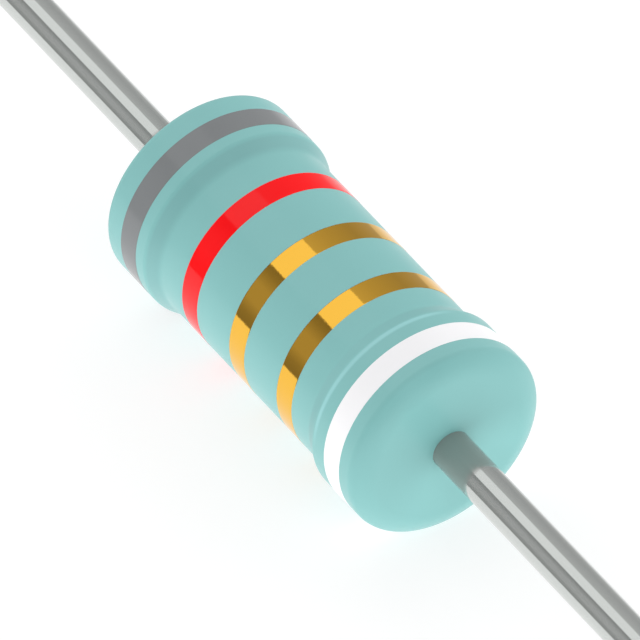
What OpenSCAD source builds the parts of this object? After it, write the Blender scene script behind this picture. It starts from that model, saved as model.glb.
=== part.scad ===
// Axial wirewound resistor with five colour bands and straight tinned leads.
// The body lies along X with its middle at the origin, and both ends are alike.
// It is built from the inside out: rod, winding, cups, coating, bands, leads.

/* [Ceramic rod] */
// Diameter of the ceramic rod that carries the winding
core_d = 3.1; // [2.6:0.05:3.4]
// Length of the ceramic rod
core_len = 7.8; // [7.2:0.1:10]
// Chamfer round each end of the rod
core_chamfer = 0.15; // [0.12:0.01:0.3]

/* [End cups] */
// Sheet thickness of the pressed steel end cups
cup_wall = 0.2; // [0.15:0.01:0.3]
// How far each cup grips over the rod
cup_grip = 1.05; // [0.8:0.05:1.3]
// Outside bend radius at the closed end of a cup
cup_bend_r = 0.3; // [0.25:0.01:0.4]
// Inside bend radius at the closed end of a cup
cup_inner_r = 0.1; // [0.05:0.01:0.11]

/* [Winding] */
// Diameter of the resistance wire
wire_d = 0.14; // [0.1:0.01:0.18]
// Turns of wire from one cup to the other
wire_turns = 12; // [6:1:14]
// How far each end of the wire lies over its cup
wire_lap = 0.25; // [0.15:0.01:0.4]
// Length over which the wire climbs from the rod onto a cup
wire_climb = 0.28; // [0.22:0.01:0.35]
// Clearance between the wire and what lies round it
wire_gap = 0.02; // [0.01:0.005:0.04]

/* [Coating] */
// Coating thickness over the winding
winding_coat = 0.23; // [0.18:0.01:0.32]
// Coating thickness over the sides of the cups
cup_coat = 0.39; // [0.34:0.01:0.6]
// Coating thickness over the flat end of a cup, at the lead
end_coat = 0.4; // [0.36:0.01:0.7]
// Slope of the neck that leads up to each end bulge, in degrees
neck_angle = 24; // [18:1:40]
// How far before the cup's rim the neck starts to rise
neck_advance = 0.26; // [0.2:0.01:0.45]
// Rounding where the neck meets the bulge
neck_top_r = 0.15; // [0.05:0.01:0.3]
// Rounding in the corner where the neck leaves the middle
neck_foot_r = 0.4; // [0.1:0.01:0.6]
// Tight rounding at the outer edge of each end
end_edge_r = 0.18; // [0.1:0.01:0.25]
// Wide rounding between that edge and the end face
end_shoulder_r = 0.73; // [0.5:0.01:0.9]
// Tilt of the surface where the tight rounding meets the wide one, in degrees
end_edge_tilt = 42; // [36:1:50]
// Slope of the slightly coned end face, in degrees
end_face_tilt = 1.5; // [0.5:0.5:4]

/* [Colour bands] */
// Width of a colour band
band_w = 0.52; // [0.3:0.01:0.6]
// Depth of a colour band, which lies flush in the coating
band_t = 0.04; // [0.02:0.005:0.06]
// Distance between the three middle bands
band_pitch = 1.65; // [1.2:0.05:1.8]
// Distance of the two outer bands from the cups' flat ends
band_inset = 0.55; // [0.5:0.01:0.6]
// Sideways offset of the whole set of bands
band_shift = 0.07; // [0:0.01:0.1]

/* [Leads] */
// Diameter of the tinned copper leads
lead_d = 0.82; // [0.5:0.01:1]
// Length of each lead outside the coating
lead_len = 28; // [20:0.5:40]
// Chamfer on the cut end of a lead
lead_chamfer = 0.08; // [0.04:0.01:0.15]
// Diameter of the welded head that joins a lead to its cup
weld_d = 1.3; // [1.1:0.05:1.8]
// Thickness of the welded head
weld_t = 0.1; // [0.05:0.01:0.12]
// Length over which the weld runs out on the lead
weld_flare = 0.18; // [0.1:0.01:0.2]

/* [Hidden] */

// Fineness of round surfaces, of the body's roundings and of the wire
$fn = 96;
arc_step = 7;
wire_sides = 6;
wire_steps = 24;

// Radii, from the rod outwards
core_r = core_d / 2;
cup_r = core_r + cup_wall;
lead_r = lead_d / 2;
wire_r = wire_d / 2;
// A straight step of the wire cuts inside its circle, so its corners stand a little further out
chord_rise = 1 / cos(180 / wire_steps);
wire_low_r = (core_r + wire_gap + wire_r) * chord_rise;
wire_high_r = (cup_r + wire_gap + wire_r) * chord_rise;
pocket_low_r = wire_low_r + wire_r + wire_gap;
pocket_high_r = wire_high_r + wire_r + wire_gap;
middle_r = pocket_low_r + winding_coat;
bulge_r = cup_r + cup_coat;

// Places along the axis, measured from the middle
core_end = core_len / 2;
cup_rim = core_end - cup_grip;
cup_end = core_end + cup_wall;
body_end = cup_end + end_coat;
climb_end = cup_rim - wire_r;
climb_start = climb_end - wire_climb;
wire_end = cup_rim + wire_lap;
pocket_end = wire_end + wire_r + wire_gap;
neck_foot = cup_rim - neck_advance;
neck_top = neck_foot + (bulge_r - middle_r) / tan(neck_angle);
lead_end = body_end + lead_len;

// Centres of the body's roundings, each as [radius, place along the axis].
// Half the turn of a rounding gives how far it reaches from its corner.
neck_foot_centre = [middle_r + neck_foot_r, neck_foot - neck_foot_r * tan(neck_angle / 2)];
neck_top_centre = [bulge_r - neck_top_r, neck_top + neck_top_r * tan(neck_angle / 2)];
// At the end a tight arc runs into a wide one, and that into a slightly coned face
shoulder_below_edge = end_shoulder_r - end_edge_r;
shoulder_centre_r = bulge_r - end_edge_r - shoulder_below_edge * sin(end_edge_tilt);
face_edge_r = shoulder_centre_r + end_shoulder_r * sin(end_face_tilt);
face_edge_x = body_end - face_edge_r * tan(end_face_tilt);
shoulder_centre = [shoulder_centre_r, face_edge_x - end_shoulder_r * cos(end_face_tilt)];
edge_centre = [bulge_r - end_edge_r, shoulder_centre[1] + shoulder_below_edge * cos(end_edge_tilt)];

// Points along an arc between two tilts of the surface's normal, measured from the axis
function normal(tilt) = [sin(tilt), cos(tilt)];
function arc_tilts(from, to) =
  let (steps = ceil(abs(to - from) / arc_step))
  [for (step = [0:steps]) from + (to - from) * step / steps];
function round_arc(centre, r, from, to) =
  [for (tilt = arc_tilts(from, to)) centre + r * normal(tilt)];
function hollow_arc(centre, r, from, to) =
  [for (tilt = arc_tilts(from, to)) centre - r * normal(tilt)];

// Place of each band along the axis
outer_band_x = cup_end - band_inset;
grey_x = band_shift - outer_band_x;
red_x = band_shift - band_pitch;
gold_multiplier_x = band_shift;
gold_tolerance_x = band_shift + band_pitch;
white_x = band_shift + outer_band_x;
band_places = [grey_x, red_x, gold_multiplier_x, gold_tolerance_x, white_x];

// Outer radius of the coating under a band
function skin_r(x) = abs(x) < neck_foot ? middle_r : bulge_r;

// Radius of the wire's middle line at a place along the axis
function climb_share(x) = min(1, max(0, (abs(x) - climb_start) / wire_climb));
function wire_path_r(x) = wire_low_r + (wire_high_r - wire_low_r) * climb_share(x);

// One corner of the wire: ring number along the wire, side number round it
wire_rings = wire_turns * wire_steps;
function wire_place(ring) = wire_end * (2 * ring / wire_rings - 1);
function wire_point(ring, side) =
  let (
    x = wire_place(ring),
    around = 360 * ring / wire_steps,
    section = 360 * side / wire_sides,
    r = wire_path_r(x) + wire_r * cos(section)
  )
  [x + wire_r * sin(section), r * cos(around), r * sin(around)];

// Turns a half outline, drawn as [radius, place along the axis], about the X axis
module turned() {
  rotate([0, 90, 0])
    rotate_extrude()
      children();
}

// Puts a piece drawn for the right end at the left end
module left_end() {
  mirror([1, 0, 0])
    children();
}

// Outline of what is alike at both ends, from its points between the middle and the right end
module both_ends(points) {
  last = len(points) - 1;
  mirrored = [for (i = [last:-1:0]) [points[i][0], -points[i][1]]];
  polygon(concat(points, mirrored));
}

// Half outline of a straight round length from one place along the axis to another
module round_length(r, from, to) {
  translate([0, from])
    square([r, to - from]);
}

// Outside of a cup: a round length whose closed end has a bent edge
module cup_outline() {
  round_length(cup_r, cup_rim, cup_end - cup_bend_r);
  round_length(cup_r - cup_bend_r, cup_rim, cup_end);
  translate([cup_r - cup_bend_r, cup_end - cup_bend_r])
    intersection() {
      circle(cup_bend_r);
      square(cup_bend_r);
    }
}

// Inside of a cup, open at the rim
module cup_bore_outline() {
  round_length(core_r, cup_rim - cup_wall, core_end - cup_inner_r);
  round_length(core_r - cup_inner_r, cup_rim - cup_wall, core_end);
  translate([core_r - cup_inner_r, core_end - cup_inner_r])
    intersection() {
      circle(cup_inner_r);
      square(cup_inner_r);
    }
}

// A lead with its welded head at the cup and a chamfered cut end
module lead_outline() {
  polygon([
    [0, cup_end],
    [weld_d / 2, cup_end],
    [weld_d / 2, cup_end + weld_t],
    [lead_r, cup_end + weld_t + weld_flare],
    [lead_r, lead_end - lead_chamfer],
    [lead_r - lead_chamfer, lead_end],
    [0, lead_end]
  ]);
}

// Outside of the body
module body_outline() {
  both_ends(concat(
    hollow_arc(neck_foot_centre, neck_foot_r, 90, 90 + neck_angle),
    round_arc(neck_top_centre, neck_top_r, 90 + neck_angle, 90),
    round_arc(edge_centre, end_edge_r, 90, end_edge_tilt),
    round_arc(shoulder_centre, end_shoulder_r, end_edge_tilt, end_face_tilt),
    [[0, body_end]]
  ));
}

// Space that the winding takes up under the coating
module winding_pocket_outline() {
  both_ends([
    [pocket_low_r, climb_start - wire_r],
    [pocket_high_r, climb_end - wire_r],
    [pocket_high_r, pocket_end],
    [0, pocket_end]
  ]);
}

// Section of a colour band at a place along the axis
module band_outline(x) {
  translate([skin_r(x) - band_t, x - band_w / 2])
    square([band_t, band_w]);
}

module ceramic_core() {
  color("#ece6d8")
    turned()
      polygon([
        [0, -core_end],
        [core_r - core_chamfer, -core_end],
        [core_r, core_chamfer - core_end],
        [core_r, core_end - core_chamfer],
        [core_r - core_chamfer, core_end],
        [0, core_end]
      ]);
}

// Resistance wire wound on the rod, with both ends lapped over the cups
module resistance_wire() {
  corners = [
    for (ring = [0:wire_rings], side = [0:wire_sides - 1])
      wire_point(ring, side)
  ];
  function corner(ring, side) = ring * wire_sides + side % wire_sides;
  walls = [
    for (ring = [0:wire_rings - 1], side = [0:wire_sides - 1], half = [0:1])
      half == 0
        ? [corner(ring, side), corner(ring, side + 1), corner(ring + 1, side + 1)]
        : [corner(ring, side), corner(ring + 1, side + 1), corner(ring + 1, side)]
  ];
  start_face = [for (side = [wire_sides - 1:-1:0]) corner(0, side)];
  end_face = [for (side = [0:wire_sides - 1]) corner(wire_rings, side)];
  color("#b8a58a")
    polyhedron(corners, concat(walls, [start_face], [end_face]));
}

module end_cap_right() {
  color("#a9adb0")
    turned()
      difference() {
        cup_outline();
        cup_bore_outline();
      }
}

module end_cap_left() {
  left_end()
    end_cap_right();
}

module lead_right() {
  color("#c3c6c4")
    turned()
      lead_outline();
}

module lead_left() {
  left_end()
    lead_right();
}

module coating() {
  color("#8cc6c2")
    turned()
      difference() {
        body_outline();
        winding_pocket_outline();
        for (side = [0, 1])
          mirror([0, side]) {
            cup_outline();
            lead_outline();
          }
        for (x = band_places)
          band_outline(x);
      }
}

module band_grey() {
  color("#7a7c7e")
    turned()
      band_outline(grey_x);
}

module band_red() {
  color("#f0202a")
    turned()
      band_outline(red_x);
}

module band_gold_multiplier() {
  color("#c8962e")
    turned()
      band_outline(gold_multiplier_x);
}

module band_gold_tolerance() {
  color("#c8962e")
    turned()
      band_outline(gold_tolerance_x);
}

module band_white() {
  color("#f0eef0")
    turned()
      band_outline(white_x);
}

ceramic_core();
resistance_wire();
end_cap_left();
end_cap_right();
lead_left();
lead_right();
coating();
band_grey();
band_red();
band_gold_multiplier();
band_gold_tolerance();
band_white();
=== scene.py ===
import bmesh
import bpy
from math import ceil, cos, pi, radians, sin, tan
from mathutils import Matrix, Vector


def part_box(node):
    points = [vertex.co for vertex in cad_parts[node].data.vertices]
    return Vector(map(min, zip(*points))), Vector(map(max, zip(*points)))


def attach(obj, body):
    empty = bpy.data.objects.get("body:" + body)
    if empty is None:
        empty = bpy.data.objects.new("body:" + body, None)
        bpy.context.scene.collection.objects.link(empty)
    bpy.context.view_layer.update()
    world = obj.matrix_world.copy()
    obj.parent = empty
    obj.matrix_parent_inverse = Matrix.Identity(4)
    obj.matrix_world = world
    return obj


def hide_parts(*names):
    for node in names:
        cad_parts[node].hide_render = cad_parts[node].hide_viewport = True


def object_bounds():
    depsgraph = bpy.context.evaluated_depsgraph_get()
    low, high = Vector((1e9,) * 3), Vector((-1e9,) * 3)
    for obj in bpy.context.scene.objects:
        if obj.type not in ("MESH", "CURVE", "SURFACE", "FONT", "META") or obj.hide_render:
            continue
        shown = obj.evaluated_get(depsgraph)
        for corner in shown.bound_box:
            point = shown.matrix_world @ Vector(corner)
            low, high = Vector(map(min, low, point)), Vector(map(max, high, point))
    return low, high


# Axial resistor with five colour rings, lying on its two end bulges.
# Lengths in the dictionaries are in millimetres, the scene itself is in metres.
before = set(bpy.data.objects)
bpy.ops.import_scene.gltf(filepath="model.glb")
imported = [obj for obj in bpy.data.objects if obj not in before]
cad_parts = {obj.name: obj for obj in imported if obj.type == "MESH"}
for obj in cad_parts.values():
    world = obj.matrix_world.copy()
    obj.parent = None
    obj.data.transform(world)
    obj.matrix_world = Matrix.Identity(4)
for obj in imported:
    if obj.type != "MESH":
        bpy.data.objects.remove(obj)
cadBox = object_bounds()
mm = 0.001


def directionTo(setup):
    # from the body's middle towards an azimuth, counted from the front, and an elevation
    azimuth, elevation = radians(setup["azimuth"]), radians(setup["elevation"])
    return Vector((sin(azimuth) * cos(elevation), -cos(azimuth) * cos(elevation), sin(elevation)))


def addToScene(name, data):
    thing = bpy.data.objects.new(name, data)
    bpy.context.collection.objects.link(thing)
    return thing


# Camera

cameraSetup = {
    "azimuth": 56.9,           # degrees from the front, towards the white ring's end
    "elevation": 43.3,         # degrees above the floor
    "distance": 481.5,
    "lens": 1421.0,
    "sensor": 36.0,
    "pictureSize": 640,        # pixels
    "bodyAt": (321.6, 312.8),  # pixel where the body's middle shows
    "clipNear": 20.0,
    "clipFar": 20000.0,
}


def makeCamera(setup):
    back = directionTo(setup)
    azimuth = radians(setup["azimuth"])
    right = Vector((cos(azimuth), sin(azimuth), 0))
    up = back.cross(right)
    distance = setup["distance"] * mm
    pixel = distance * setup["sensor"] / setup["lens"] / setup["pictureSize"]
    middle = setup["pictureSize"] / 2
    target = right * (middle - setup["bodyAt"][0]) * pixel + up * (setup["bodyAt"][1] - middle) * pixel
    data = bpy.data.cameras.new("camera")
    data.lens = setup["lens"]
    data.sensor_width = setup["sensor"]
    data.clip_start = setup["clipNear"] * mm
    data.clip_end = setup["clipFar"] * mm
    camera = addToScene("camera", data)
    camera.location = target + back * distance
    camera.rotation_euler = back.to_track_quat("Z", "Y").to_euler()
    bpy.context.scene.camera = camera


makeCamera(cameraSetup)
print("camera ready")


# Sizes that several pieces share, in millimetres

def highCorner(node):
    return [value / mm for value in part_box(node)[1]]


def lowCorner(node):
    return [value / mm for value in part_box(node)[0]]


bulgeRadius = -lowCorner("coating")[2]
middleRadius = -lowCorner("band_red")[2]
cupRadius = highCorner("end_cap_right")[2]
cupRim = lowCorner("end_cap_right")[0]
cupEnd = highCorner("end_cap_right")[0]
wireEnd = highCorner("resistance_wire")[0]
wireRadius = highCorner("resistance_wire")[2]
faceAtLead = highCorner("coating")[0]
leadEnd = highCorner("lead_right")[0]
leadRadius = 0.41              # a lead's box measures its wider head, so this one is given


# Node helpers

def feed(tree, socket, value):
    # links another node's output to a socket, or sets the socket to a plain value
    if isinstance(value, bpy.types.NodeSocket):
        tree.links.new(value, socket)
    else:
        socket.default_value = value


def addNode(tree, kind, place, **values):
    # one node at a place of the editor, with its sockets and settings filled in by name
    node = tree.nodes.new(kind)
    node.location = place
    for name, value in values.items():
        socketName = name.replace("_", " ")
        if socketName in node.inputs:
            feed(tree, node.inputs[socketName], value)
        else:
            setattr(node, name, value)
    return node


def addMath(tree, operation, place, *terms):
    node = addNode(tree, "ShaderNodeMath", place, operation=operation)
    for socket, term in zip(node.inputs, terms):
        feed(tree, socket, term)
    return node.outputs[0]


# which sockets of a Mix node hold the share, the first and the second value and the result
mixSockets = {"FLOAT": (0, 2, 3, 0), "RGBA": (0, 6, 7, 2)}


def addMix(tree, kind, place, share, first, second, blend="MIX"):
    # the first value where the share is zero, the second where it is one
    node = addNode(tree, "ShaderNodeMix", place, data_type=kind, blend_type=blend)
    shareAt, firstAt, secondAt, resultAt = mixSockets[kind]
    for socketAt, value in ((shareAt, share), (firstAt, first), (secondAt, second)):
        feed(tree, node.inputs[socketAt], value)
    return node.outputs[resultAt]


def addRange(tree, place, value, fromMin, fromMax, toMin=0, toMax=1, kind="LINEAR"):
    # carries one span of numbers over to another and stays at its ends beyond them
    node = addNode(tree, "ShaderNodeMapRange", place, interpolation_type=kind, Value=value,
                   From_Min=fromMin, From_Max=fromMax, To_Min=toMin, To_Max=toMax)
    return node.outputs[0]


def partCoords(tree, place):
    # the place on the part, in millimetres
    coords = addNode(tree, "ShaderNodeTexCoord", place)
    scaled = addNode(tree, "ShaderNodeVectorMath", (place[0] + 180, place[1]), operation="SCALE",
                     Scale=1 / mm)
    tree.links.new(coords.outputs["Object"], scaled.inputs[0])
    return scaled.outputs[0]


def newMaterial(name):
    material = bpy.data.materials.new(name)
    material.use_nodes = True
    material.node_tree.nodes.clear()
    return material, material.node_tree


def newGroup(name, inputs, outputs):
    group = bpy.data.node_groups.new(name, "ShaderNodeTree")
    for socketName, kind, value in inputs:
        socket = group.interface.new_socket(socketName, in_out="INPUT", socket_type=kind)
        socket.default_value = value
    for socketName, kind in outputs:
        group.interface.new_socket(socketName, in_out="OUTPUT", socket_type=kind)
    entry = group.nodes.new("NodeGroupInput")
    entry.location = (-900, 0)
    leave = group.nodes.new("NodeGroupOutput")
    leave.location = (700, 0)
    return group, entry.outputs, leave.inputs


def placeGroup(tree, group, place, values):
    node = tree.nodes.new("ShaderNodeGroup")
    node.node_tree = group
    node.location = place
    for name, value in values.items():
        node.inputs[name].default_value = value
    return node.outputs


# Shared effects

textureSetup = {
    "cloudDetail": 3,
    "grainDetail": 2,
    "lineDetail": 2,
    "grainShare": 0.45,        # how much of the mottle is fine grain, the rest is clouds
    "noiseMiddle": 0.5,        # the level that a noise swings about
}


def makeMottleGroup(setup):
    # a colour with soft clouds and fine grain in it, the roughness and height that go with them
    group, entry, leave = newGroup(
        "fine mottle",
        [("Color", "NodeSocketColor", (0.5, 0.5, 0.5, 1)), ("Cloud Size", "NodeSocketFloat", 1.2),
         ("Grain Size", "NodeSocketFloat", 0.06), ("Spread", "NodeSocketFloat", 0.05),
         ("Roughness", "NodeSocketFloat", 0.4), ("Roughness Spread", "NodeSocketFloat", 0.05)],
        [("Color", "NodeSocketColor"), ("Roughness", "NodeSocketFloat"), ("Height", "NodeSocketFloat")])
    spot = partCoords(group, (-900, -250))
    cloudScale = addMath(group, "DIVIDE", (-700, 50), 1, entry["Cloud Size"])
    grainScale = addMath(group, "DIVIDE", (-700, -100), 1, entry["Grain Size"])
    clouds = addNode(group, "ShaderNodeTexNoise", (-500, 50), Vector=spot, Scale=cloudScale,
                     Detail=setup["cloudDetail"]).outputs[0]
    grain = addNode(group, "ShaderNodeTexNoise", (-500, -250), Vector=spot, Scale=grainScale,
                    Detail=setup["grainDetail"]).outputs[0]
    both = addMix(group, "FLOAT", (-300, 0), setup["grainShare"], clouds, grain)
    centred = addMath(group, "SUBTRACT", (-120, 0), both, setup["noiseMiddle"])
    shade = addMath(group, "MULTIPLY_ADD", (60, 100), centred, entry["Spread"], 1)
    rough = addMath(group, "MULTIPLY_ADD", (60, -120), centred, entry["Roughness Spread"],
                    entry["Roughness"])
    tinted = addNode(group, "ShaderNodeVectorMath", (420, 100), operation="SCALE", Scale=shade)
    group.links.new(entry["Color"], tinted.inputs[0])
    group.links.new(tinted.outputs[0], leave["Color"])
    group.links.new(rough, leave["Roughness"])
    group.links.new(grain, leave["Height"])
    return group


def makeDrawnGroup(setup):
    # lengthwise lines that a drawing die leaves on a wire along X
    group, entry, leave = newGroup(
        "drawn lines",
        [("Line Width", "NodeSocketFloat", 0.05), ("Line Length", "NodeSocketFloat", 12.0),
         ("Roughness", "NodeSocketFloat", 0.1), ("Roughness Spread", "NodeSocketFloat", 0.05)],
        [("Roughness", "NodeSocketFloat"), ("Height", "NodeSocketFloat")])
    spot = addNode(group, "ShaderNodeSeparateXYZ", (-540, -250), Vector=partCoords(group, (-900, -250)))
    inSteps = {}
    for axis, size, place in (("X", "Line Length", 0), ("Y", "Line Width", -150), ("Z", "Line Width", -300)):
        inSteps[axis] = addMath(group, "DIVIDE", (-360, place), spot.outputs[axis], entry[size])
    stretched = addNode(group, "ShaderNodeCombineXYZ", (-180, -150), **inSteps)
    lines = addNode(group, "ShaderNodeTexNoise", (0, -150), Vector=stretched.outputs[0], Scale=1,
                    Detail=setup["lineDetail"]).outputs[0]
    centred = addMath(group, "SUBTRACT", (180, 0), lines, setup["noiseMiddle"])
    rough = addMath(group, "MULTIPLY_ADD", (360, 0), centred, entry["Roughness Spread"],
                    entry["Roughness"])
    group.links.new(rough, leave["Roughness"])
    group.links.new(lines, leave["Height"])
    return group


def makeBeltGroup():
    # a mask that is one between two places along X and fades out softly beyond both
    group, entry, leave = newGroup(
        "belt along the part",
        [("Low", "NodeSocketFloat", 0.0), ("High", "NodeSocketFloat", 1.0),
         ("Soft Low", "NodeSocketFloat", 0.1), ("Soft High", "NodeSocketFloat", 0.1),
         ("Both Ends", "NodeSocketFloat", 0.0)],
        [("Mask", "NodeSocketFloat")])
    spot = addNode(group, "ShaderNodeSeparateXYZ", (-540, -250), Vector=partCoords(group, (-900, -250)))
    along = spot.outputs["X"]
    fromMiddle = addMath(group, "ABSOLUTE", (-360, -350), along)
    place = addMix(group, "FLOAT", (-180, -250), entry["Both Ends"], along, fromMiddle)
    before = addMath(group, "SUBTRACT", (-540, 100), entry["Low"], entry["Soft Low"])
    after = addMath(group, "ADD", (-540, -50), entry["High"], entry["Soft High"])
    rise = addRange(group, (50, 150), place, before, entry["Low"], kind="SMOOTHSTEP")
    fall = addRange(group, (50, -150), place, after, entry["High"], kind="SMOOTHSTEP")
    group.links.new(addMath(group, "MULTIPLY", (300, 0), rise, fall), leave["Mask"])
    return group


mottleGroup = makeMottleGroup(textureSetup)
drawnGroup = makeDrawnGroup(textureSetup)
beltGroup = makeBeltGroup()


# Finishes

coatingFinish = {
    "color": (0.226, 0.516, 0.504, 1),
    "cloudSize": 1.6,
    "grainSize": 0.05,
    "spread": 0.05,
    "roughness": 0.45,
    "roughnessSpread": 0.08,
    "bumpDepth": 0.0012,
    "gloss": 0.25,
    "coatWeight": 0.28,
    "coatRoughness": 0.15,
}

# painted shade on the two necks, and a painted highlight: a pale line along the top edge of the right neck
coatingBelts = {
    "left neck shade": {"low": -2.86, "high": -2.72, "softLow": 0.08, "softHigh": 0.22,
                  "tint": (0.94, 0.905, 0.915, 1)},
    "right neck shade": {"low": 2.68, "high": 2.9, "softLow": 0.12, "softHigh": 0.06,
                   "tint": (0.965, 0.945, 0.95, 1)},
    "right edge highlight": {"low": 2.995, "high": 3.02, "softLow": 0.065, "softHigh": 0.065,
                   "tint": (1.36, 1.22, 1.26, 1), "facingFull": 0.4, "facingNone": 0.62},
}

inkFinishes = {
    "grey_paint": {"color": (0.211, 0.222, 0.228, 1), "roughness": 0.12, "gloss": 0.35, "spread": 0.12},
    "red_paint": {"color": (0.98, 0.002, 0.005, 1), "roughness": 0.07, "gloss": 0.30, "spread": 0.02},
    "gold_paint": {"color": (1.0, 0.56, 0.072, 1), "roughness": 0.05, "metallic": 1.0, "spread": 0.04},
    "white_paint": {"color": (0.92, 0.915, 0.93, 1), "roughness": 0.3, "gloss": 0.35, "spread": 0.02},
}

ceramicFinish = {"color": (0.80, 0.76, 0.67, 1), "roughness": 0.75, "spread": 0.08}

# what a mottled finish has where it doesn't say otherwise
plainFinish = {
    "cloudSize": 0.8,
    "grainSize": 0.04,
    "roughnessSpread": 0.05,
    "bumpDepth": 0.0004,
    "metallic": 0.0,
    "gloss": 0.5,
    "coatWeight": 0.0,
    "coatRoughness": 0.1,
}

wireFinishes = {
    "tinned_copper": {"color": (0.64, 0.665, 0.645, 1), "metallic": 0.82, "roughness": 0.08,
                      "roughnessSpread": 0.05, "lineWidth": 0.05, "lineLength": 9.0, "bumpDepth": 0.0002,
                      # painted shade: a darker, less metallic tin close to the coating, then the copper at
                      # the cut end
                      "rootShadeColor": (0.38, 0.38, 0.36, 1), "rootShadeMetallic": 0.5, "rootShadeLength": 1.04,
                      "rootShadeFade": 0.14, "cutColor": (0.83, 0.40, 0.24, 1), "cutDepth": 0.004,
                      "cutFade": 0.002},
    "resistance_alloy": {"color": (0.46, 0.40, 0.33, 1), "metallic": 1.0, "roughness": 0.35,
                         "roughnessSpread": 0.1, "lineWidth": 0.03, "lineLength": 0.2, "bumpDepth": 0.0003},
    "plated_steel": {"color": (0.60, 0.61, 0.62, 1), "metallic": 1.0, "roughness": 0.3,
                     "roughnessSpread": 0.1, "lineWidth": 0.08, "lineLength": 0.5, "bumpDepth": 0.0004},
}


def addSurface(tree, texture, bumpDepth, **values):
    # the shader with a texture's roughness and height on it, and the material's output
    bump = addNode(tree, "ShaderNodeBump", (-250, -250), Strength=1.0, Distance=bumpDepth * mm,
                   Height=texture["Height"])
    surface = addNode(tree, "ShaderNodeBsdfPrincipled", (0, 0), Roughness=texture["Roughness"],
                      Normal=bump.outputs["Normal"], **values)
    addNode(tree, "ShaderNodeOutputMaterial", (350, 0), Surface=surface.outputs["BSDF"])


def addBelt(tree, color, belt, place):
    # paints shade or a highlight into a colour inside one belt by tinting it, less where the surface is seen
    # from aside
    mask = placeGroup(tree, beltGroup, place, {
        "Low": belt["low"], "High": belt["high"],
        "Soft Low": belt["softLow"], "Soft High": belt["softHigh"],
    })["Mask"]
    if "facingNone" in belt:
        aside = addNode(tree, "ShaderNodeLayerWeight", (place[0] - 400, place[1] + 150), Blend=0.5)
        fade = addRange(tree, (place[0] - 200, place[1] + 150), aside.outputs["Facing"],
                        belt["facingNone"], belt["facingFull"])
        mask = addMath(tree, "MULTIPLY", (place[0] + 180, place[1] + 150), fade, mask)
    return addMix(tree, "RGBA", (place[0] + 350, place[1]), mask, color, belt["tint"], blend="MULTIPLY")


def makeMottledMaterial(name, ownFinish, belts=()):
    finish = {**plainFinish, **ownFinish}
    material, tree = newMaterial(name)
    mottle = placeGroup(tree, mottleGroup, (-500, 0), {
        "Color": finish["color"],
        "Cloud Size": finish["cloudSize"],
        "Grain Size": finish["grainSize"],
        "Spread": finish["spread"],
        "Roughness": finish["roughness"],
        "Roughness Spread": finish["roughnessSpread"],
    })
    color = mottle["Color"]
    # each belt paints shade or a highlight into the colour
    for number, belt in enumerate(belts):
        color = addBelt(tree, color, belt, (-500, 350 + 300 * number))
    addSurface(tree, mottle, finish["bumpDepth"], Base_Color=color, Metallic=finish["metallic"],
               Specular_IOR_Level=finish["gloss"], Coat_Weight=finish["coatWeight"],
               Coat_Roughness=finish["coatRoughness"])
    return material


def rootShadeAndCut(tree, finish):
    # painted shade: the tin is darker and less metallic close to the coating, where the body shades the
    # wire, and the cropped end shows the copper
    rootShade = placeGroup(tree, beltGroup, (-700, 350), {
        "Low": 0, "High": faceAtLead + finish["rootShadeLength"],
        "Soft High": finish["rootShadeFade"], "Both Ends": 1,
    })["Mask"]
    cut = placeGroup(tree, beltGroup, (-700, 650), {
        "Low": leadEnd - finish["cutDepth"], "High": 2 * leadEnd,
        "Soft Low": finish["cutFade"], "Both Ends": 1,
    })["Mask"]
    tin = addMix(tree, "RGBA", (-450, 350), rootShade, finish["color"], finish["rootShadeColor"])
    color = addMix(tree, "RGBA", (-250, 500), cut, tin, finish["cutColor"])
    metallic = addMix(tree, "FLOAT", (-250, 250), rootShade, finish["metallic"], finish["rootShadeMetallic"])
    return color, metallic


def makeWireMaterial(name, finish):
    material, tree = newMaterial(name)
    lines = placeGroup(tree, drawnGroup, (-500, 0), {
        "Line Width": finish["lineWidth"],
        "Line Length": finish["lineLength"],
        "Roughness": finish["roughness"],
        "Roughness Spread": finish["roughnessSpread"],
    })
    color, metallic = finish["color"], finish["metallic"]
    # painted shade close to the coating, and the copper at the cut end
    if "rootShadeColor" in finish:
        color, metallic = rootShadeAndCut(tree, finish)
    addSurface(tree, lines, finish["bumpDepth"], Base_Color=color, Metallic=metallic)
    return material


finishes = {"coating_lacquer": makeMottledMaterial("coating lacquer", coatingFinish, coatingBelts.values()),
            "ceramic": makeMottledMaterial("ceramic", ceramicFinish)}
for slotName, finish in inkFinishes.items():
    finishes[slotName] = makeMottledMaterial(slotName.replace("_", " "), finish)
for slotName, finish in wireFinishes.items():
    finishes[slotName] = makeWireMaterial(slotName.replace("_", " "), finish)
print("finishes ready")


# Turned pieces

turning = {
    "stepsRound": 256,
    "sharpEdge": 28,           # degrees between two faces from which their edge stays sharp
    "arcStep": 3,              # degrees between the points of a rounding
}


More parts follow.
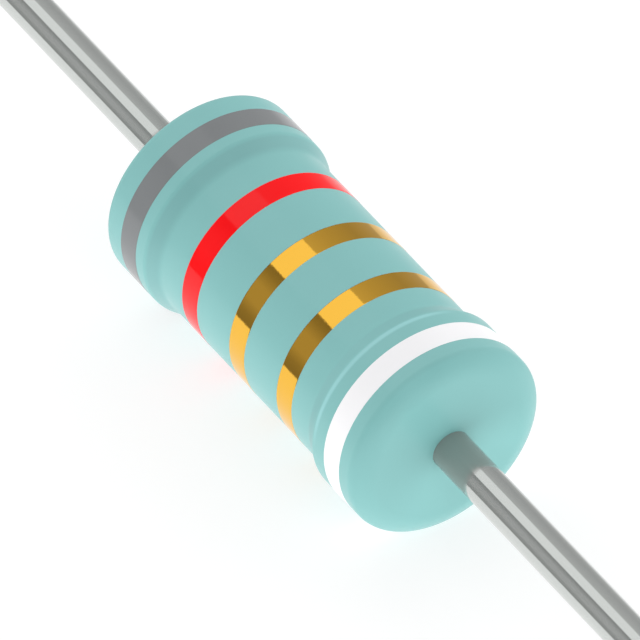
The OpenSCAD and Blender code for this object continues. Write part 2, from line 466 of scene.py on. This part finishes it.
def turnedPiece(name, outline, node, slotName):
    # turns a closed outline of (place along X, radius) about the X axis and stands it for a node
    mesh = bpy.data.meshes.new(name)
    build = bmesh.new()
    steps = turning["stepsRound"]
    angles = [2 * pi * step / steps for step in range(steps)]
    rings = []
    for x, radius in outline:
        if radius == 0:
            rings.append([build.verts.new((x * mm, 0, 0))])
            continue
        rings.append([build.verts.new((x * mm, radius * mm * cos(a), radius * mm * sin(a))) for a in angles])
    for here, there in zip(rings, rings[1:] + rings[:1]):
        if len(here) == 1 and len(there) == 1:
            continue
        for step in range(steps):
            following = (step + 1) % steps
            corners = [here[step % len(here)], here[following % len(here)],
                       there[following % len(there)], there[step % len(there)]]
            build.faces.new(list(dict.fromkeys(corners)))
    bmesh.ops.recalc_face_normals(build, faces=build.faces)
    build.to_mesh(mesh)
    build.free()
    mesh.shade_smooth()
    mesh.set_sharp_from_angle(angle=radians(turning["sharpEdge"]))
    mesh.materials.append(finishes[slotName])
    piece = addToScene(name, mesh)
    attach(piece, "root")
    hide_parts(node)


def mirrored(points):
    # the same points at the left end, in the order that carries the outline on
    return [(-x, radius) for x, radius in reversed(points)]


def arc(centre, radius, fromTilt, toTilt, hollow=False):
    # points of a rounding between two tilts of the surface's normal, measured from the X axis
    count = max(2, ceil(abs(toTilt - fromTilt) / turning["arcStep"]))
    side = -1 if hollow else 1
    points = []
    for step in range(count + 1):
        tilt = radians(fromTilt + (toTilt - fromTilt) * step / count)
        points.append((centre[0] + side * radius * cos(tilt), centre[1] + side * radius * sin(tilt)))
    return points


# Coating, with the same outline as its solid: neck, bulge, rounded end and the space inside

coatingSizes = {
    "neckAngle": 24.0,
    "neckAdvance": 0.26,
    "neckFootRound": 0.4,
    "neckTopRound": 0.15,
    "edgeRound": 0.18,
    "shoulderRound": 0.73,
    "edgeTilt": 42.0,
    "faceTilt": 1.5,
    "pocketGap": 0.02,
    "grooveDepth": 0.04,
}

# the rings' nodes and finishes, from the left end to the right
ringNodes = {
    "band_grey": "grey_paint",
    "band_red": "red_paint",
    "band_gold_multiplier": "gold_paint",
    "band_gold_tolerance": "gold_paint",
    "band_white": "white_paint",
}


def coatingEnd(sizes):
    # points from the neck to the lead at the right end, on the outside
    neckAngle = radians(sizes["neckAngle"])
    reach = tan(neckAngle / 2)
    neckFoot = cupRim - sizes["neckAdvance"]
    neckTop = neckFoot + (bulgeRadius - middleRadius) / tan(neckAngle)
    edgeTilt, faceTilt = radians(sizes["edgeTilt"]), radians(sizes["faceTilt"])
    step = sizes["shoulderRound"] - sizes["edgeRound"]
    edgeHeight = bulgeRadius - sizes["edgeRound"]
    shoulderHeight = edgeHeight - step * sin(edgeTilt)
    faceHeight = shoulderHeight + sizes["shoulderRound"] * sin(faceTilt)
    bodyEnd = faceAtLead + leadRadius * tan(faceTilt)
    faceEdge = bodyEnd - faceHeight * tan(faceTilt)
    # centres of the four roundings
    foot = (neckFoot - sizes["neckFootRound"] * reach, middleRadius + sizes["neckFootRound"])
    top = (neckTop + sizes["neckTopRound"] * reach, bulgeRadius - sizes["neckTopRound"])
    shoulder = (faceEdge - sizes["shoulderRound"] * cos(faceTilt), shoulderHeight)
    edge = (shoulder[0] + step * cos(edgeTilt), edgeHeight)
    upright = 90
    neckTilt = upright + sizes["neckAngle"]
    points = arc(foot, sizes["neckFootRound"], upright, neckTilt, hollow=True)
    points += arc(top, sizes["neckTopRound"], neckTilt, upright)
    points += arc(edge, sizes["edgeRound"], upright, sizes["edgeTilt"])
    points += arc(shoulder, sizes["shoulderRound"], sizes["edgeTilt"], sizes["faceTilt"])[1:]
    points.append((faceAtLead, leadRadius))
    return points


def coatingInside(sizes):
    # points of the space inside from the lead at the right end to the lead at the left end
    pocket = wireRadius + sizes["pocketGap"]
    pocketEnd = wireEnd + sizes["pocketGap"]
    right = [(cupEnd, leadRadius), (cupEnd, cupRadius), (pocketEnd, cupRadius), (pocketEnd, pocket),
             (cupRim, pocket), (cupRim, cupRadius)]
    return right + mirrored(right)


def withGrooves(points, depth):
    # lets the rings into the outside, which runs from the left end to the right
    grooves = []
    for node in ringNodes:
        left, right = lowCorner(node)[0], highCorner(node)[0]
        skin = -lowCorner(node)[2]
        grooves.append([(left, skin), (left, skin - depth), (right, skin - depth), (right, skin)])
    result = []
    for point in points:
        while grooves and grooves[0][0][0] < point[0]:
            result += grooves.pop(0)
        result.append(point)
    return result


def makeCoating(sizes):
    right = coatingEnd(sizes)
    outline = withGrooves(mirrored(right) + right, sizes["grooveDepth"]) + coatingInside(sizes)
    turnedPiece("body_coating", outline, "coating", "coating_lacquer")


makeCoating(coatingSizes)


# Colour rings, a film of ink over their grooves with soft edges

ringSizes = {
    "proud": 0.003,            # how far the ink stands above the coating
    "edgeProud": 0.001,        # the same at its two edges
    "lip": 0.006,              # from an edge to the full height
}


def makeRing(node, slotName, sizes, depth):
    left, right = lowCorner(node)[0], highCorner(node)[0]
    skin = -lowCorner(node)[2]
    under, thin, over = skin - depth, skin + sizes["edgeProud"], skin + sizes["proud"]
    lip = sizes["lip"]
    outline = [(left, under), (left, thin), (left + lip, over), (left + 2 * lip, over),
               (right - 2 * lip, over), (right - lip, over), (right, thin), (right, under)]
    turnedPiece(node.replace("band", "ring"), outline, node, slotName)


for node, slotName in ringNodes.items():
    makeRing(node, slotName, ringSizes, coatingSizes["grooveDepth"])
print("coating and rings ready")


# Leads, straight wire with a welded head inside and a cropped end

leadSizes = {
    "headRadius": 0.65,
    "headLength": 0.1,
    "flare": 0.18,
    "cropChamfer": 0.08,
}


def makeLead(name, node, side, sizes):
    headEnd = cupEnd + sizes["headLength"]
    outline = [
        (cupEnd, 0), (cupEnd, sizes["headRadius"]), (headEnd, sizes["headRadius"]),
        (headEnd + sizes["flare"], leadRadius), (leadEnd - sizes["cropChamfer"], leadRadius),
        (leadEnd, leadRadius - sizes["cropChamfer"]), (leadEnd, 0),
    ]
    turnedPiece(name, [(side * x, radius) for x, radius in outline], node, "tinned_copper")


makeLead("lead_wire_left", "lead_left", -1, leadSizes)
makeLead("lead_wire_right", "lead_right", 1, leadSizes)
print("leads ready")


# Sealed pieces keep their solids and take their finish

sealedNodes = {
    "ceramic_core": "ceramic",
    "resistance_wire": "resistance_alloy",
    "end_cap_left": "plated_steel",
    "end_cap_right": "plated_steel",
}
for node, slotName in sealedNodes.items():
    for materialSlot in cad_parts[node].material_slots:
        materialSlot.material = finishes[slotName]
print("sealed pieces ready")


# Studio: pale floor, even sky light, one soft lamp and a tent that only reflections see

white = (1, 1, 1, 1)

floorSetup = {
    "size": 1600.0,
    "color": (0.37, 0.37, 0.37, 1),
    "lift": 0.69,              # own light that the camera sees
    "bounce": 1.33,            # own light that reaches the part from below
}

# the sky is even apart from the side towards the camera, which stays dim
skySetup = {
    "level": 1.49,
    "dimShare": 0.05,
    "dimStarts": 0.27,         # cosines of the angle to the camera's side
    "dimEnds": 0.72,
}

lampSetup = {
    "azimuth": 62.0,
    "elevation": 43.0,
    "distance": 420.0,
    "width": 500.0,
    "height": 140.0,
    "power": 0.745,
}

# a long tube round the leads that carries the stripes which the metal shows
tentSetup = {
    "radius": 500.0,
    "halfLength": 3000.0,
    "steps": 180,
    "dimFrom": -420.0,         # the tent grows dim towards the left end
    "dimTo": -800.0,
    "endLevel": 0.3,
    "zeroY": -0.501,           # angle zero lies towards the camera, seen along the leads
    "zeroZ": 0.866,
}

# brightness of the tent by angle round the leads, in degrees, rising over the top to the back
tentLevels = [
    (-180, 0.95), (-136, 0.97), (-75.5, 0.97), (-74.5, 0.21), (-62, 0.25), (-48, 0.375), (-28, 0.375),
    (-12, 0.24), (-4, 0.2), (-3, 0.96), (41, 0.97), (42, 0.5), (60, 0.43), (98, 0.33), (128, 0.42),
    (132, 0.45), (134, 0.66), (150, 0.9), (180, 0.95),
]


def cameraGlossyOrGlass(tree, place):
    # one where a ray comes from the camera, a reflection or glass
    path = addNode(tree, "ShaderNodeLightPath", place).outputs
    first = addMath(tree, "MAXIMUM", (place[0] + 200, place[1]), path["Is Camera Ray"],
                    path["Is Glossy Ray"])
    return addMath(tree, "MAXIMUM", (place[0] + 400, place[1]), first, path["Is Transmission Ray"])


def makeSky(setup, dimSide):
    world = bpy.data.worlds.new("studio sky")
    world.use_nodes = True
    tree = world.node_tree
    tree.nodes.clear()
    coords = addNode(tree, "ShaderNodeTexCoord", (-900, 0))
    towardsDim = addNode(tree, "ShaderNodeVectorMath", (-700, 200), operation="DOT_PRODUCT")
    feed(tree, towardsDim.inputs[0], coords.outputs["Generated"])
    feed(tree, towardsDim.inputs[1], dimSide)
    lit = addRange(tree, (-500, 200), towardsDim.outputs["Value"], setup["dimStarts"], setup["dimEnds"],
                   setup["level"], setup["level"] * setup["dimShare"], kind="SMOOTHSTEP")
    seen = cameraGlossyOrGlass(tree, (-900, -300))
    strength = addMix(tree, "FLOAT", (-250, 0), seen, lit, 1)
    background = addNode(tree, "ShaderNodeBackground", (0, 0), Color=white, Strength=strength)
    addNode(tree, "ShaderNodeOutputWorld", (200, 0), Surface=background.outputs[0])
    bpy.context.scene.world = world


def makeFloor(setup):
    half = setup["size"] * mm / 2
    height = cadBox[0][2]
    corners = [(-half, -half, height), (half, -half, height), (half, half, height), (-half, half, height)]
    mesh = bpy.data.meshes.new("floor")
    mesh.from_pydata(corners, [], [(0, 1, 2, 3)])
    material, tree = newMaterial("pale floor")
    seen = cameraGlossyOrGlass(tree, (-900, -200))
    strength = addMix(tree, "FLOAT", (-400, -100), seen, setup["bounce"], setup["lift"])
    pale = addNode(tree, "ShaderNodeBsdfDiffuse", (-200, 100), Color=setup["color"])
    glow = addNode(tree, "ShaderNodeEmission", (-200, -100), Color=white, Strength=strength)
    both = addNode(tree, "ShaderNodeAddShader", (50, 0))
    feed(tree, both.inputs[0], pale.outputs[0])
    feed(tree, both.inputs[1], glow.outputs[0])
    addNode(tree, "ShaderNodeOutputMaterial", (250, 0), Surface=both.outputs[0])
    mesh.materials.append(material)
    floor = addToScene("floor", mesh)
    floor.visible_glossy = False


def makeLamp(setup):
    away = directionTo(setup)
    data = bpy.data.lights.new("soft lamp", "AREA")
    data.shape = "RECTANGLE"
    data.size = setup["width"] * mm
    data.size_y = setup["height"] * mm
    data.energy = setup["power"]
    lamp = addToScene("soft lamp", data)
    lamp.location = away * setup["distance"] * mm
    lamp.rotation_euler = away.to_track_quat("Z", "Y").to_euler()
    lamp.visible_glossy = False


def makeTentMesh(setup):
    # open at the right end and closed at the left
    zeroY, zeroZ, count = setup["zeroY"], setup["zeroZ"], setup["steps"]
    points, faces = [], []
    for step in range(count):
        turn = radians(360 * step / count - 180)
        y = (cos(turn) * zeroY + sin(turn) * zeroZ) * setup["radius"]
        z = (cos(turn) * zeroZ - sin(turn) * zeroY) * setup["radius"]
        for x in (-setup["halfLength"], setup["halfLength"]):
            points.append((x * mm, y * mm, z * mm))
        following = (step + 1) % count
        faces.append((2 * step, 2 * step + 1, 2 * following + 1, 2 * following))
    faces.append([2 * step for step in range(count)])
    mesh = bpy.data.meshes.new("tent")
    mesh.from_pydata(points, [], faces)
    return mesh


def makeTentMaterial(setup, levels):
    zeroY, zeroZ = setup["zeroY"], setup["zeroZ"]
    material, tree = newMaterial("tent stripes")
    coords = addNode(tree, "ShaderNodeTexCoord", (-1100, 0))
    spot = addNode(tree, "ShaderNodeSeparateXYZ", (-900, 0), Vector=coords.outputs["Object"]).outputs
    turned = []
    for shareY, shareZ, height in ((zeroZ, -zeroY, 100), (zeroY, zeroZ, -150)):
        fromY = addMath(tree, "MULTIPLY", (-700, height), spot["Y"], shareY)
        turned.append(addMath(tree, "MULTIPLY_ADD", (-500, height), spot["Z"], shareZ, fromY))
    angle = addMath(tree, "ARCTAN2", (-300, 0), *turned)
    ramp = addNode(tree, "ShaderNodeValToRGB", (100, 0))
    feed(tree, ramp.inputs[0], addRange(tree, (-100, 0), angle, -pi, pi))
    stops = ramp.color_ramp.elements
    places = [(degrees + 180) / 360 for degrees, level in levels]
    for place in places[1:-1]:
        stops.new(place)
    for stop, place, (degrees, level) in zip(stops, places, levels):
        stop.position = place
        stop.color = (level, level, level, 1)
    strength = addRange(tree, (150, -300), spot["X"], setup["dimTo"] * mm, setup["dimFrom"] * mm,
                        toMin=setup["endLevel"])
    glow = addNode(tree, "ShaderNodeEmission", (400, 0), Color=ramp.outputs["Color"], Strength=strength)
    addNode(tree, "ShaderNodeOutputMaterial", (600, 0), Surface=glow.outputs[0])
    return material


def makeTent(setup, levels):
    mesh = makeTentMesh(setup)
    mesh.materials.append(makeTentMaterial(setup, levels))
    tent = addToScene("tent", mesh)
    tent.visible_camera = False
    tent.visible_diffuse = False
    tent.visible_transmission = False
    tent.visible_shadow = False


makeSky(skySetup, directionTo(cameraSetup))
makeFloor(floorSetup)
makeLamp(lampSetup)
makeTent(tentSetup, tentLevels)
bpy.context.scene.view_settings.view_transform = "Standard"
print("studio ready")
